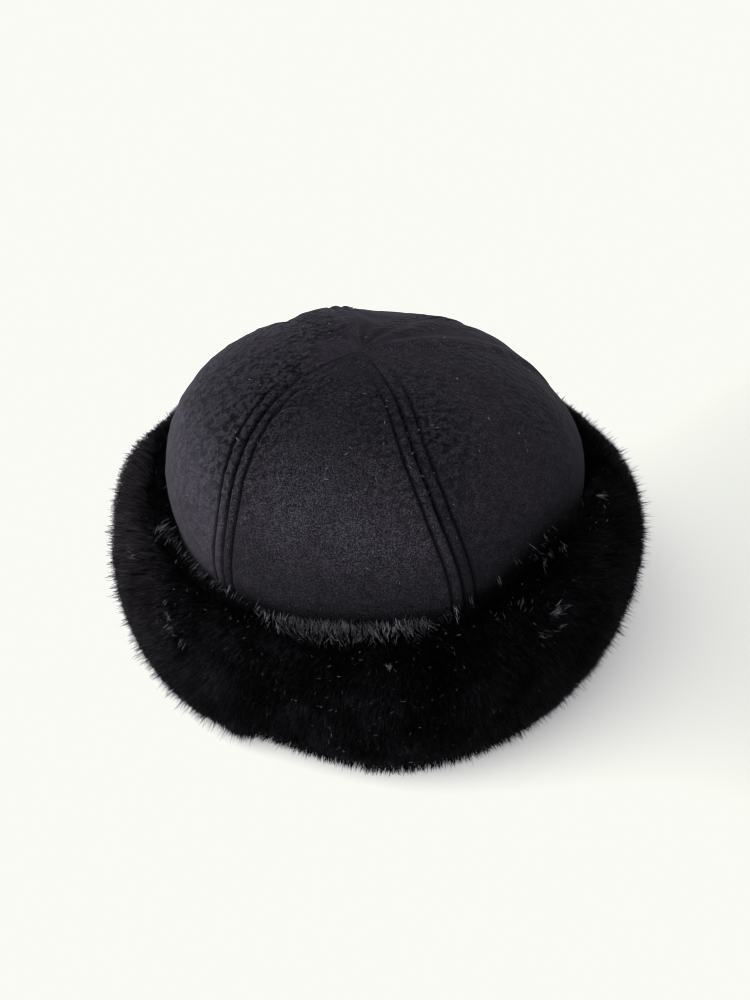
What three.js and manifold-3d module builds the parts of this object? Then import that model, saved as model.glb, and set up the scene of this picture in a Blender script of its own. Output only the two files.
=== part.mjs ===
// Fur hat: a soft wool crown of six topstitched gores inside a deep fur cuff turned up all round.
// Millimetres. X right, Y to the back, Z up. The origin lies on the floor under the middle of the hat.
// Azimuths are in degrees round the hat, 0 at the front, growing to the right and then to the back.

import * as THREE from "three";
import Module from "manifold-3d";
import { mergeVertices } from "three/addons/utils/BufferGeometryUtils.js";

// Driving dimensions
const CLOTH = 2.6;
const SEAM_GAP = 0.4;
const SEAT_GAP = 0.3;
const HEM_HEIGHT = 2.5;
const HEM_RADIUS = 94;
const RIM_HEIGHT = 70;
const RIM_RADIUS = 96.5;

// Crown steps: up the straight wall behind the cuff, then over the dome to the apex.
const WALL_STEPS = 3;
const DOME_STEPS = 15;
const PLAIN_COLUMNS = 4;
const NARROW_GORE = 26;

// Rings of the dome from its rim to the point where the gores meet: half the ring's width and depth,
// and how far its middle lies to the right of the hat's middle and to the back of it.
const DOME_RINGS = [
  { height: 70, width: 96.5, depth: 96.5, right: 0, back: 0 },
  { height: 85, width: 98.2, depth: 98, right: 0, back: 0 },
  { height: 99, width: 96.6, depth: 95.5, right: 0, back: -0.5 },
  { height: 111, width: 91, depth: 88.5, right: -0.8, back: -1.5 },
  { height: 121.5, width: 82, depth: 77.5, right: -2, back: -2.5 },
  { height: 130, width: 70, depth: 63.5, right: -3, back: -2.5 },
  { height: 136.5, width: 55, depth: 48, right: -3.8, back: -1 },
  { height: 141.5, width: 37, depth: 31, right: -4.3, back: 2.5 },
  { height: 144, width: 18, depth: 15, right: -5.4, back: 6 },
  { height: 144.5, width: 1.3, depth: 1.3, right: -6, back: 8 },
];

// Seams of the crown: the azimuth where each starts at the hem and the one where it ends at the apex,
// the levels between which it turns from one to the other, its bow on the way, and its depth at the top.
const SEAMS = [
  { at: "front left", hem: -42.5, apex: -67, turnFrom: 0.15, turnTo: 1, bow: 0, depth: 1 },
  { at: "front right", hem: 24, apex: 28, turnFrom: 0.5, turnTo: 1, bow: -4.5, depth: 1 },
  { at: "right", hem: 95, apex: 122, turnFrom: -1, turnTo: 0.65, bow: 0, depth: 1 },
  { at: "back right", hem: 150, apex: 160, turnFrom: 0, turnTo: 1, bow: 0, depth: 1.6 },
  { at: "back left", hem: 194, apex: 184, turnFrom: 0, turnTo: 1, bow: 0, depth: -1.4 },
  { at: "left", hem: 246, apex: 207, turnFrom: -1, turnTo: 0.65, bow: 0, depth: 1.2 },
];

// Gores between one seam and the next: how far each puffs out, and how far up its puff is fullest.
const GORES = [
  { name: "crown_gore_front", puff: 2.5, fullest: 0.55 },
  { name: "crown_gore_front_right", puff: 2.5, fullest: 0.55 },
  { name: "crown_gore_back_right", puff: 0.3, fullest: 0.55 },
  { name: "crown_gore_back", puff: -1.2, fullest: 0.55 },
  { name: "crown_gore_back_left", puff: 1.5, fullest: 0.55 },
  { name: "crown_gore_front_left", puff: 2.5, fullest: 0.5 },
];

// Section of a topstitched seam: the sunk joint, the welt beside it and the sunk row of stitches.
const WELT = [
  { distance: 0, lift: -1.3 },
  { distance: 2.7, lift: 0.3 },
  { distance: 5.5, lift: -0.7 },
  { distance: 8.4, lift: 0 },
];

// The welts rise over the first share of the way up the dome and fade over the last share before the
// apex. Each seam's own depth at the top comes in above the level where it starts.
const WELT_RISE = 0.12;
const WELT_FADE = 0.2;
const DEPTH_START = 0.5;
const DEPTH_RISE = 0.4;

// Outer form of the cuff round the hat, as the fur stands: its top edge, its widest line and its foot.
const CUFF_FORM = [
  { azimuth: -180, topHeight: 76, topRadius: 106, wideHeight: 42, wideRadius: 125.3, footRadius: 117 },
  { azimuth: -135, topHeight: 76, topRadius: 108, wideHeight: 50, wideRadius: 131.5, footRadius: 121 },
  { azimuth: -95, topHeight: 76, topRadius: 107, wideHeight: 42, wideRadius: 128.5, footRadius: 124 },
  { azimuth: -65, topHeight: 74, topRadius: 106, wideHeight: 27, wideRadius: 126.5, footRadius: 124 },
  { azimuth: -42, topHeight: 77, topRadius: 106, wideHeight: 27, wideRadius: 124, footRadius: 119 },
  { azimuth: -26, topHeight: 81, topRadius: 106, wideHeight: 32, wideRadius: 119, footRadius: 112 },
  { azimuth: -12, topHeight: 85, topRadius: 107, wideHeight: 37, wideRadius: 121.5, footRadius: 114 },
  { azimuth: 3, topHeight: 87, topRadius: 107, wideHeight: 39, wideRadius: 126, footRadius: 119 },
  { azimuth: 22, topHeight: 87, topRadius: 106, wideHeight: 42, wideRadius: 128, footRadius: 119 },
  { azimuth: 46, topHeight: 105, topRadius: 106, wideHeight: 52, wideRadius: 129, footRadius: 118 },
  { azimuth: 64, topHeight: 101, topRadius: 106.5, wideHeight: 55, wideRadius: 129, footRadius: 118 },
  { azimuth: 92, topHeight: 83, topRadius: 108, wideHeight: 56, wideRadius: 129, footRadius: 118 },
  { azimuth: 125, topHeight: 76, topRadius: 108, wideHeight: 51, wideRadius: 130, footRadius: 118 },
];
const CUFF_SEGMENTS = 60;
const CUFF_OUTER_STEPS = 8;
const CUFF_REST_INSET = 4;
const CUFF_REST_WIDTH = 14;
const CUFF_LIP = 5;
const CUFF_LIP_DROP = 3;
const CUFF_THROAT = 6.3;
const CUFF_THROAT_DROP = 16;
const CUFF_SEAT_HEIGHT = 60;
const CUFF_SEAT_DROP = 26;

// Points between the cuff's top edge, its widest line and its foot, as shares of the way.
const SHOULDER = { out: 0.72, down: 0.42 };
const LOW_POINT = { inward: 0.4, up: 0.36 };

// Rows of fur locks down the outside of the cuff, from the top edge to the foot.
const LOCK_ROWS = [
  { from: 0.3, to: 0.03, width: 26, lift: 2.6, tip: 2.6, turn: 0 },
  { from: 0.24, to: 0.6, width: 28, lift: 2.8, tip: 2.6, turn: 6.5 },
  { from: 0.5, to: 0.92, width: 28, lift: 2.8, tip: 2.2, turn: 0 },
];
const LOCKS_IN_A_ROW = 27;
const LOCK_SINK = 2.2;
const LOCK_CLEARANCE = 0.6;
const LOCK_CREST = 0.4;

// How far the locks differ: degrees moved and swayed round the hat, and shares of width and length.
const LOCK_MOVE = 2;
const LOCK_SWAY = 3;
const LOCK_WIDTH_SPREAD = 0.12;
const LOCK_LENGTH_SPREAD = 0.14;

// Sections of a lock from its root to near its point, as shares of its length, width and lift.
const LOCK_STATIONS = [
  { along: 0, width: 0.8, crest: -0.4 },
  { along: 0.4, width: 1, crest: 1 },
  { along: 0.75, width: 0.75, crest: 1.2 },
];
const SLIVER = 0.05;

const wasm = await Module();
wasm.setup();

// A repeatable number between -1 and 1 for an index, used to make neighbouring locks differ.
function vary(index, salt) {
  const wave = Math.sin(index * 12.9898 + salt * 78.233) * 43758.5453;
  return 2 * (wave - Math.floor(wave)) - 1;
}

function smooth(value) {
  const x = THREE.MathUtils.clamp(value, 0, 1);
  return x * x * (3 - 2 * x);
}

// Direction away from the hat's middle at an azimuth.
function outward(azimuth) {
  const angle = THREE.MathUtils.degToRad(azimuth);
  return new THREE.Vector3(Math.sin(angle), -Math.cos(angle), 0);
}

// The closed body that a grid of outer points and a grid of inner points bound.
function closedSheet(outer, inner) {
  const rows = outer.length;
  const columns = outer[0].length;
  const points = [...outer.flat(), ...inner.flat()];
  const out = (row, column) => row * columns + column;
  const into = (row, column) => rows * columns + row * columns + column;
  const faces = [];
  const quad = (a, b, c, d) => faces.push(a, b, c, a, c, d);
  const [top, end] = [rows - 1, columns - 1];
  for (let row = 0; row < top; row++) {
    for (let column = 0; column < end; column++) {
      quad(out(row, column), out(row, column + 1), out(row + 1, column + 1), out(row + 1, column));
      quad(into(row, column), into(row + 1, column), into(row + 1, column + 1), into(row, column + 1));
    }
    quad(out(row, 0), out(row + 1, 0), into(row + 1, 0), into(row, 0));
    quad(out(row + 1, end), out(row, end), into(row, end), into(row + 1, end));
  }
  for (let column = 0; column < end; column++) {
    quad(out(0, column + 1), out(0, column), into(0, column), into(0, column + 1));
    quad(out(top, column), out(top, column + 1), into(top, column + 1), into(top, column));
  }
  return geometryOf(points, faces);
}

// The ring that a row of closed sections makes, the last one joined to the first.
function closedRing(sections) {
  const length = sections[0].length;
  const faces = [];
  for (let i = 0; i < sections.length; i++) {
    const next = (i + 1) % sections.length;
    for (let j = 0; j < length; j++) {
      const over = (j + 1) % length;
      faces.push(i * length + j, next * length + over, next * length + j);
      faces.push(i * length + j, i * length + over, next * length + over);
    }
  }
  return geometryOf(sections.flat(), faces);
}

function geometryOf(points, faces) {
  const geometry = new THREE.BufferGeometry().setFromPoints(points);
  geometry.setIndex(faces);
  return geometry;
}

function solidOf(geometry) {
  const merged = mergeVertices(geometry, 1e-4);
  return new wasm.Manifold(new wasm.Mesh({
    numProp: 3,
    vertProperties: new Float32Array(merged.attributes.position.array),
    triVerts: new Uint32Array(merged.index.array),
  }));
}

function geometryOfSolid(solid) {
  const mesh = solid.getMesh();
  const geometry = new THREE.BufferGeometry();
  geometry.setAttribute("position", new THREE.BufferAttribute(new Float32Array(mesh.vertProperties), 3));
  geometry.setIndex([...mesh.triVerts]);
  return geometry;
}

// The crown's ring at a level: -1 at the hem, 0 at the rim of the dome, 1 at the apex.
const domeSize = new THREE.CatmullRomCurve3(
  DOME_RINGS.map((ring) => new THREE.Vector3(ring.width, ring.height, ring.depth)));
const domeMiddle = new THREE.CatmullRomCurve3(
  DOME_RINGS.map((ring) => new THREE.Vector3(ring.right, ring.back, ring.height)));

function crownRing(level) {
  if (level <= 0) {
    const radius = THREE.MathUtils.lerp(RIM_RADIUS, HEM_RADIUS, -level);
    const height = THREE.MathUtils.lerp(RIM_HEIGHT, HEM_HEIGHT, -level);
    return { width: radius, depth: radius, height, right: 0, back: 0 };
  }
  const way = domeSize.getUtoTmapping(Math.min(level, 1));
  const size = domeSize.getPoint(way);
  const middle = domeMiddle.getPoint(way);
  return { width: size.x, depth: size.z, height: size.y, right: middle.x, back: middle.y };
}

function crownBase(level, azimuth) {
  const ring = crownRing(level);
  const way = outward(azimuth);
  return new THREE.Vector3(ring.right + way.x * ring.width, ring.back + way.y * ring.depth, ring.height);
}

// The way out of the crown, taken from the smooth dome so that both sides of a seam share it.
function crownNormal(level, azimuth) {
  const reach = 0.02;
  const low = crownBase(Math.max(level - reach, -1), azimuth);
  const high = crownBase(Math.min(level + reach, 1), azimuth);
  const side = new THREE.Vector3().subVectors(crownBase(level, azimuth + 1), crownBase(level, azimuth - 1));
  return side.cross(high.sub(low)).normalize();
}

function seamAzimuth(seam, level) {
  const turned = smooth((level - seam.turnFrom) / (seam.turnTo - seam.turnFrom));
  const bow = seam.bow * Math.sin(Math.PI * THREE.MathUtils.clamp(level, 0, 1));
  return THREE.MathUtils.lerp(seam.hem, seam.apex, turned) + bow;
}

// Degrees round the crown that stand for a distance square to a seam at a level.
function seamDegrees(seam, level, distance) {
  const step = 0.01;
  const azimuth = seamAzimuth(seam, level);
  const along = crownBase(Math.min(level + step, 1), seamAzimuth(seam, level + step))
    .sub(crownBase(level - step, seamAzimuth(seam, level - step))).normalize();
  const round = crownBase(level, azimuth + 1).sub(crownBase(level, azimuth - 1)).divideScalar(2);
  const square = Math.sqrt(Math.max(1 - (along.dot(round) / round.length()) ** 2, 0.1));
  return distance / (round.length() * square);
}

function weltLift(distance) {
  const last = WELT.length - 1;
  if (distance >= WELT[last].distance) return WELT[last].lift;
  const next = WELT.findIndex((row) => row.distance > distance);
  const [a, b] = [WELT[next - 1], WELT[next]];
  return THREE.MathUtils.mapLinear(distance, a.distance, b.distance, a.lift, b.lift);
}

// Azimuths of a gore's columns at a level, each with its distance from the nearer seam.
function goreColumns(left, right, level) {
  const leftAzimuth = seamAzimuth(left, level);
  const rightAzimuth = seamAzimuth(right, level);
  const width = crownBase(level, leftAzimuth).distanceTo(crownBase(level, rightAzimuth));
  const squeeze = Math.min(1, width / NARROW_GORE);
  const columns = [];
  for (const { distance } of WELT) {
    const away = distance === 0 ? SEAM_GAP / 2 : distance * squeeze;
    columns.push({ azimuth: leftAzimuth + seamDegrees(left, level, away), distance, seam: left });
  }
  const first = columns[columns.length - 1].azimuth;
  const mirrored = WELT.map(({ distance }) => {
    const away = distance === 0 ? SEAM_GAP / 2 : distance * squeeze;
    return { azimuth: rightAzimuth - seamDegrees(right, level, away), distance, seam: right };
  }).reverse();
  const last = mirrored[0].azimuth;
  for (let i = 1; i < PLAIN_COLUMNS; i++) {
    const azimuth = THREE.MathUtils.lerp(first, last, i / PLAIN_COLUMNS);
    columns.push({ azimuth, distance: WELT[WELT.length - 1].distance, seam: left });
  }
  columns.push(...mirrored);
  return columns.map((column) => ({
    ...column,
    across: (column.azimuth - leftAzimuth) / (rightAzimuth - leftAzimuth),
  }));
}

// How far the cloth stands off the smooth dome.
function clothLift(gore, column, level) {
  const shown = smooth(level / WELT_RISE);
  const fade = smooth((1 - level) / WELT_FADE);
  const reach = level < gore.fullest ? level / gore.fullest : (1 - level) / (1 - gore.fullest);
  const puff = gore.puff * Math.sin(Math.PI * column.across) * smooth(reach);
  const depth = THREE.MathUtils.lerp(1, column.seam.depth, smooth((level - DEPTH_START) / DEPTH_RISE));
  return shown * (puff + fade * depth * weltLift(column.distance));
}

function crownLevels() {
  const levels = [];
  for (let i = 0; i < WALL_STEPS; i++) levels.push(i / WALL_STEPS - 1);
  for (let i = 0; i <= DOME_STEPS; i++) levels.push(i / DOME_STEPS);
  return levels;
}

function crownGore(index) {
  const gore = GORES[index];
  const left = SEAMS[index];
  const next = SEAMS[(index + 1) % SEAMS.length];
  const turn = index + 1 === SEAMS.length ? 360 : 0;
  const right = { ...next, hem: next.hem + turn, apex: next.apex + turn };
  const outer = [];
  const inner = [];
  for (const level of crownLevels()) {
    const outerRow = [];
    const innerRow = [];
    for (const column of goreColumns(left, right, level)) {
      const normal = crownNormal(level, column.azimuth);
      const lift = clothLift(gore, column, level);
      const point = crownBase(level, column.azimuth);
      outerRow.push(point.clone().addScaledVector(normal, lift));
      innerRow.push(point.clone().addScaledVector(normal, lift - CLOTH));
    }
    outer.push(outerRow);
    inner.push(innerRow);
  }
  return closedSheet(outer, inner);
}

// The cuff's form at an azimuth, read smoothly between the rows of its table.
const formColumns = Object.keys(CUFF_FORM[0]).filter((key) => key !== "azimuth");
const turnedForm = (turn) => CUFF_FORM.map((row) => ({ ...row, azimuth: row.azimuth + turn }));
const formRows = [-360, 0, 360].flatMap(turnedForm);
const cuffSpline = new THREE.CubicInterpolant(
  formRows.map((row) => row.azimuth),
  formRows.flatMap((row) => formColumns.map((key) => row[key])),
  formColumns.length);

function cuffForm(azimuth) {
  const values = cuffSpline.evaluate(azimuth);
  return Object.fromEntries(formColumns.map((key, i) => [key, values[i]]));
}

// Outline of the cuff's outside at an azimuth, as radius and height from its top edge to its foot.
function cuffOutline(azimuth) {
  const form = cuffForm(azimuth);
  const shoulderHeight = THREE.MathUtils.lerp(form.topHeight, form.wideHeight, SHOULDER.down);
  const shoulderRadius = THREE.MathUtils.lerp(form.topRadius, form.wideRadius, SHOULDER.out);
  const lowRadius = THREE.MathUtils.lerp(form.wideRadius, form.footRadius, LOW_POINT.inward);
  return new THREE.CatmullRomCurve3([
    new THREE.Vector3(form.topRadius - CUFF_LIP, 0, form.topHeight - CUFF_LIP_DROP),
    new THREE.Vector3(form.topRadius, 0, form.topHeight),
    new THREE.Vector3(shoulderRadius, 0, shoulderHeight),
    new THREE.Vector3(form.wideRadius, 0, form.wideHeight),
    new THREE.Vector3(lowRadius, 0, form.wideHeight * LOW_POINT.up),
    new THREE.Vector3(form.footRadius - CUFF_REST_INSET, 0, 0),
  ]);
}

// Radius of the crown's wall at a height, where the cuff lies against it.
function wallRadius(height) {
  return THREE.MathUtils.mapLinear(height, HEM_HEIGHT, RIM_HEIGHT, HEM_RADIUS, RIM_RADIUS);
}

function cuffPoint(azimuth, radius, height) {
  return outward(azimuth).multiplyScalar(radius).setZ(height);
}

function cuffSurface(azimuth, share) {
  const point = cuffOutline(azimuth).getPointAt(THREE.MathUtils.clamp(share, 0, 1));
  return cuffPoint(azimuth, point.x, point.z);
}

function cuffNormal(azimuth, share) {
  const reach = 0.02;
  const up = cuffSurface(azimuth, share - reach).sub(cuffSurface(azimuth, share + reach));
  const side = cuffSurface(azimuth + 1, share).sub(cuffSurface(azimuth - 1, share));
  return side.cross(up).normalize();
}

// One closed section of the cuff's body: down its outside, in along the floor and up its inside, which
// lies against the crown's wall and opens to a throat below the top edge.
function cuffSection(azimuth) {
  const form = cuffForm(azimuth);
  const seatHeight = Math.min(CUFF_SEAT_HEIGHT, form.topHeight - CUFF_SEAT_DROP);
  const section = [];
  for (let i = 0; i <= CUFF_OUTER_STEPS; i++) section.push(cuffSurface(azimuth, i / CUFF_OUTER_STEPS));
  section.push(cuffPoint(azimuth, form.footRadius - CUFF_REST_INSET - CUFF_REST_WIDTH, 0));
  section.push(cuffPoint(azimuth, wallRadius(HEM_HEIGHT) + SEAT_GAP, HEM_HEIGHT));
  section.push(cuffPoint(azimuth, wallRadius(seatHeight) + SEAT_GAP, seatHeight));
  section.push(cuffPoint(azimuth, form.topRadius - CUFF_THROAT, form.topHeight - CUFF_THROAT_DROP));
  return section;
}

// One lock: a tapered strip that rises out of the cuff's body and ends in a raised point. Its underside
// stays sunk in the body.
function furLock(row, number, rowIndex) {
  const even = (number + 0.5) * 360 / LOCKS_IN_A_ROW - 180;
  const azimuth = even + row.turn + LOCK_MOVE * vary(number, rowIndex);
  const width = row.width * (1 + LOCK_WIDTH_SPREAD * vary(number, rowIndex + 10));
  const reach = 1 + LOCK_LENGTH_SPREAD * vary(number, rowIndex + 20);
  const sway = LOCK_SWAY * vary(number, rowIndex + 30);
  const handed = Math.sign(row.to - row.from);
  const points = [];
  const place = (along, across, height) => {
    const share = THREE.MathUtils.lerp(row.from, row.to, along * reach);
    const middle = azimuth + sway * along;
    const radius = Math.hypot(...cuffSurface(middle, share).toArray().slice(0, 2));
    const at = middle + handed * THREE.MathUtils.radToDeg(across / radius);
    const point = cuffSurface(at, share).addScaledVector(cuffNormal(at, share), height);
    points.push(point.setZ(Math.max(point.z, LOCK_CLEARANCE)));
  };
  for (const station of LOCK_STATIONS) {
    const half = width * station.width / 2;
    const crest = row.lift * station.crest;
    place(station.along, -half, -LOCK_SINK);
    place(station.along, -LOCK_CREST * half, crest);
    place(station.along, LOCK_CREST * half, crest);
    place(station.along, half, -LOCK_SINK);
  }
  place(1, 0, row.tip);
  place(1, 0, -LOCK_SINK);
  const faces = [0, 1, 2, 0, 2, 3];
  for (let band = 0; band < LOCK_STATIONS.length - 1; band++) {
    for (let j = 0; j < 4; j++) {
      const a = band * 4 + j;
      const b = band * 4 + (j + 1) % 4;
      faces.push(a, a + 4, b + 4, a, b + 4, b);
    }
  }
  const point = points.length - 2;
  const under = points.length - 1;
  const [left, crestLeft, crestRight, right] = [point - 4, point - 3, point - 2, point - 1];
  faces.push(left, point, crestLeft, crestLeft, point, crestRight, crestRight, point, right);
  faces.push(left, under, point, right, point, under, left, right, under);
  return solidOf(geometryOf(points, faces));
}

// The cuff's body with its locks fused to it. Pockets that locks shut in are filled, and the slivers
// that the joins leave are taken out.
function furCuff() {
  const sections = [];
  for (let i = 0; i < CUFF_SEGMENTS; i++) sections.push(cuffSection(i * 360 / CUFF_SEGMENTS - 180));
  let body = solidOf(closedRing(sections));
  LOCK_ROWS.forEach((row, rowIndex) => {
    for (let number = 0; number < LOCKS_IN_A_ROW; number++) {
      body = body.add(furLock(row, number, rowIndex));
    }
  });
  const [whole] = body.decompose().sort((a, b) => b.volume() - a.volume());
  return geometryOfSolid(whole.simplify(SLIVER));
}

const crownCloth = new THREE.MeshStandardMaterial({ color: 0x2e2d33, roughness: 0.95, metalness: 0 });
const cuffFur = new THREE.MeshStandardMaterial({ color: 0x0e0d10, roughness: 0.55, metalness: 0 });

function named(name, geometry, material) {
  const mesh = new THREE.Mesh(geometry, material);
  mesh.name = name;
  return mesh;
}

const hat = new THREE.Group();
GORES.forEach((gore, index) => hat.add(named(gore.name, crownGore(index), crownCloth)));
hat.add(named("fur_cuff", furCuff(), cuffFur));

export default hat;
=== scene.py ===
"""Fur hat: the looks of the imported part. A soft black wool crown of six topstitched gores inside a deep
black fur cuff. Tables are in millimetres and degrees, in the frame of the CAD, and meshes in metres.
Azimuths run round the hat, 0 at the front, growing to the right and then to the back."""

import math
from collections import namedtuple

import bpy
import numpy as np
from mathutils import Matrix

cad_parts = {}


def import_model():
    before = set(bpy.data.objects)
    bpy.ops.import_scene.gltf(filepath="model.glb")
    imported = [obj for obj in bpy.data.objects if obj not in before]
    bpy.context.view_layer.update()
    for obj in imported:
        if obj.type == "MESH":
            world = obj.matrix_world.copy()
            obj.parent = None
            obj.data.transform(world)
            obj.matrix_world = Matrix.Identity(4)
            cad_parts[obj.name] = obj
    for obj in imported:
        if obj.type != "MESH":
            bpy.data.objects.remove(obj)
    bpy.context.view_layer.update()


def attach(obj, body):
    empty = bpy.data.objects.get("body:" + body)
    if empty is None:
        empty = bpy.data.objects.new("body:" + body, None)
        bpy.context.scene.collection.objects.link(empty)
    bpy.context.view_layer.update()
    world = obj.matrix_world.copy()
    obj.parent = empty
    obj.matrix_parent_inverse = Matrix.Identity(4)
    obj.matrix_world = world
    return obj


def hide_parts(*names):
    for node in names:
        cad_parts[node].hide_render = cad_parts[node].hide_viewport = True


MM = 0.001
SEED = 29

Seam = namedtuple("Seam", "hem apex turn_from turn_to bow depth stitched line")
Gore = namedtuple("Gore", "node puff fullest crinkle ruffled fleck shade darker_from top_darker low_darker")
Form = namedtuple("Form", "azimuth top_height top_radius wide_height wide_radius foot_radius")
Welt = namedtuple("Welt", "distance lift dark")
Fur = namedtuple("Fur", "azimuth length tone over pale stray")
Hair = namedtuple("Hair", "stray widths lean roll segments")

# Sizes of the crown, as in the CAD but for its cloth and seams, which are sewn shut here.
CLOTH = 2.4
SEAM_GAP = 0.03
HEM_HEIGHT = 2.5
HEM_RADIUS = 94
RIM_HEIGHT = 70
RIM_RADIUS = 96.5
NARROW_GORE = 26

# Rings of the dome from its rim to the apex: height, half the width and the depth, and how far the
# middle lies to the right and to the back.
DOME_RINGS = [
    (70, 96.5, 96.5, 0, 0),
    (85, 98.2, 98, 0, 0),
    (99, 96.6, 95.5, 0, -0.5),
    (111, 91, 88.5, -0.8, -1.5),
    (121.5, 82, 77.5, -2, -2.5),
    (130, 70, 63.5, -3, -2.5),
    (136.5, 55, 48, -3.8, -1),
    (141.5, 37, 31, -4.3, 2.5),
    (144, 18, 15, -5.4, 6),
    (144.5, 0.2, 0.2, -6, 8),
]

# Seams of the crown, from the front left one round to the left one: azimuths at the hem and the apex,
# levels between which each turns, bow on the way, depth past its stitches, below zero for a ridge, level
# where its stitches end, and how dark the painted shade along the line of its joint is.
SEAMS = [
    Seam(-42.5, -67, 0.15, 1, 0, 1, 0.56, 0.85),
    Seam(24, 28, 0.5, 1, -4.5, 1, 0.68, 0.85),
    Seam(95, 122, -1, 0.65, 0, -1.2, 0.06, 0),
    Seam(150, 160, 0, 1, 0, 0.9, 0.3, 0.25),
    Seam(194, 184, 0, 1, 0, -1.4, 0.32, 0),
    Seam(246, 207, -1, 0.65, 0, 1.2, 0.16, 0.6),
]

# Gores from each seam to the next: how far they puff out and how far up most, how deep their puckers are
# and how far they spread past the seams, how flecked the wool is, how light it is painted, lighter on the
# left as painted light and darker on the right as painted shade, the height where painted shade starts to
# darken it, and how much painted shade darkens the top and the foot.
GORES = [
    Gore("crown_gore_front", 2.5, 0.55, 0.75, 0.25, 0.6, 0.73, 120, 0.8, 0.47),
    Gore("crown_gore_front_right", 2.5, 0.55, 0.95, 0.3, 0.24, 0.51, 122, 0, 0.42),
    Gore("crown_gore_back_right", 0.3, 0.55, 0.3, 0, 0.1, 0.74, 95, 0.2, 0),
    Gore("crown_gore_back", -1.2, 0.55, 0.3, 0, 0.1, 0.74, 95, 0.2, 0),
    Gore("crown_gore_back_left", 1.5, 0.55, 0.5, 0.2, 0.15, 0.95, 95, 0.3, 0),
    Gore("crown_gore_front_left", 2.5, 0.5, 1, 0.6, 0.35, 2.15, 110, 0.68, 0.22),
]

# Soft dents and swellings of the cloth: azimuth, level, reach and lift.
DENTS = [
    (112, 0.28, 30, -2.6),
    (171, 0.39, 13, -1.3),
    (190, 0.39, 12, 1.4),
]

# Section of a topstitched seam, by the distance from its joint: lift, and darkness of painted shade over
# the sunk joint, the welt and the sunk row of stitches.
WELT = [
    Welt(0, -1.8, 1),
    Welt(0.4, -1.5, 1),
    Welt(0.8, -0.5, 0.75),
    Welt(1.3, 0.1, 0.25),
    Welt(2.1, 0.4, 0),
    Welt(2.9, 0.46, 0),
    Welt(3.6, 0.4, 0),
    Welt(4.3, 0.15, 0.2),
    Welt(4.8, -0.35, 0.75),
    Welt(5.15, -1, 0.95),
    Welt(5.5, -1.3, 1),
    Welt(5.85, -1, 0.95),
    Welt(6.2, -0.35, 0.75),
    Welt(6.8, -0.05, 0.2),
    Welt(7.6, 0.04, 0),
    Welt(8.4, 0, 0),
]

# Distance of the stitches from the joint, and the levels over which a welt rises and fades.
WELT_ROW = 5.5
WELT_RISE = 0.12
WELT_FADE = 0.16

# Past its last stitched level a seam softens into a plain fold, a valley or a ridge.
SOFTENING = 0.26
FOLD_DEPTH = 0.9
FOLD_WIDTH = 8.4

# Width of the dark line of painted shade along a joint, and how dark the painted shade in the grooves is
# at the rim, and the levels over which it grows.
SEAM_LINE = 1.3
GROOVE_LOW_SHADE = 0.55
GROOVE_SHADE_RISE = 0.5

# Rows and columns of a gore, and its soft swells and ripples.
WALL_STEPS = 8
DOME_STEPS = 84
PLAIN_COLUMNS = 36
SWELL_LIFT = 0.35
RIPPLE_SHARE = 0.5

# Outer form of the cuff, as in the CAD but for a softer back: top edge, widest line and foot.
CUFF_FORM = [
    Form(-180, 76, 106, 42, 125.3, 117),
    Form(-135, 76, 108, 50, 130.9, 121),
    Form(-95, 76, 107, 42, 128.5, 124),
    Form(-65, 74, 106, 27, 126.5, 124),
    Form(-42, 77, 106, 27, 124, 119),
    Form(-26, 81, 106, 32, 119, 112),
    Form(-12, 85, 107, 37, 121.5, 114),
    Form(3, 87, 107, 39, 126, 119),
    Form(22, 87, 106, 42, 128, 119),
    Form(46, 105, 106, 52, 129, 118),
    Form(64, 101, 106.5, 55, 129, 118),
    Form(92, 83, 108, 56, 129, 118),
    Form(125, 76, 108, 51, 127.8, 118),
]
CUFF_REST_INSET = 4
CUFF_LIP = 5
CUFF_LIP_DROP = 3
CUFF_THROAT = 6.3
CUFF_THROAT_DROP = 16
CUFF_SEAT_HEIGHT = 60
CUFF_SEAT_DROP = 26
SEAT_GAP = 0.3
SHOULDER = (0.72, 0.42)
LOW_POINT = (0.4, 0.36)

# Puckers of the crown: how far from a seam they reach, and the levels over which they rise and fade.
PUCKER_REACH = 20
PUCKER_STRENGTH = 1.6
PUCKER_DEPTH = 0.4
PUCKER_START, PUCKER_RISE = 0.14, 0.34
PUCKER_END, PUCKER_FADE = 0.74, 0.16
PUCKER_FADED = 0.85

# Fur: the pelt under its tips, its hairs, which are shorter at the foot, and their numbers.
PELT_DEPTH = 3.4
PELT_EVERY = 3
PELT_FLOOR = 1.6
PELT_FOOT_WIDTH = 10
ROOT_DEPTH = 4
ROOT_FLOOR = 1.0
HAIR_FLOOR = 0.25
FOOT_SHORTER = 0.26
WIDEST_RADIUS = 132
PILES = [
    ("fur_pile_front", 0, 60000),
    ("fur_pile_right", 90, 46000),
    ("fur_pile_back", 180, 36000),
    ("fur_pile_left", -90, 46000),
]
EDGE_HAIRS = 27000
STRAY_HAIRS = 11500
UNDERSIDE_HAIRS = 9000
GLINTS = 1300
LINT = 110

# Kinds of hair: how far each strays from the nap, its width, its own lean, how far its flat side turns
# and its segments.
PILE_HAIR = Hair(0.16, (0.2, 0.36), 0.06, 0.6, 2)
STRAY_HAIR = Hair(0.1, (0.22, 0.36), 0.04, 0.6, 3)
EDGE_HAIR = Hair(0.12, (0.18, 0.32), 0.06, 0.6, 3)
UNDERSIDE_HAIR = Hair(0.25, (0.3, 0.5), 0.08, 0.3, 2)
GLINT_HAIR = Hair(0.1, (0.12, 0.24), 0.1, 0.5, 3)
TUFT_WIDTHS = (0.12, 0.26)
EDGE_GLINT_WIDTHS = (0.08, 0.17)
LINT_WIDTHS = (0.14, 0.26)

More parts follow.
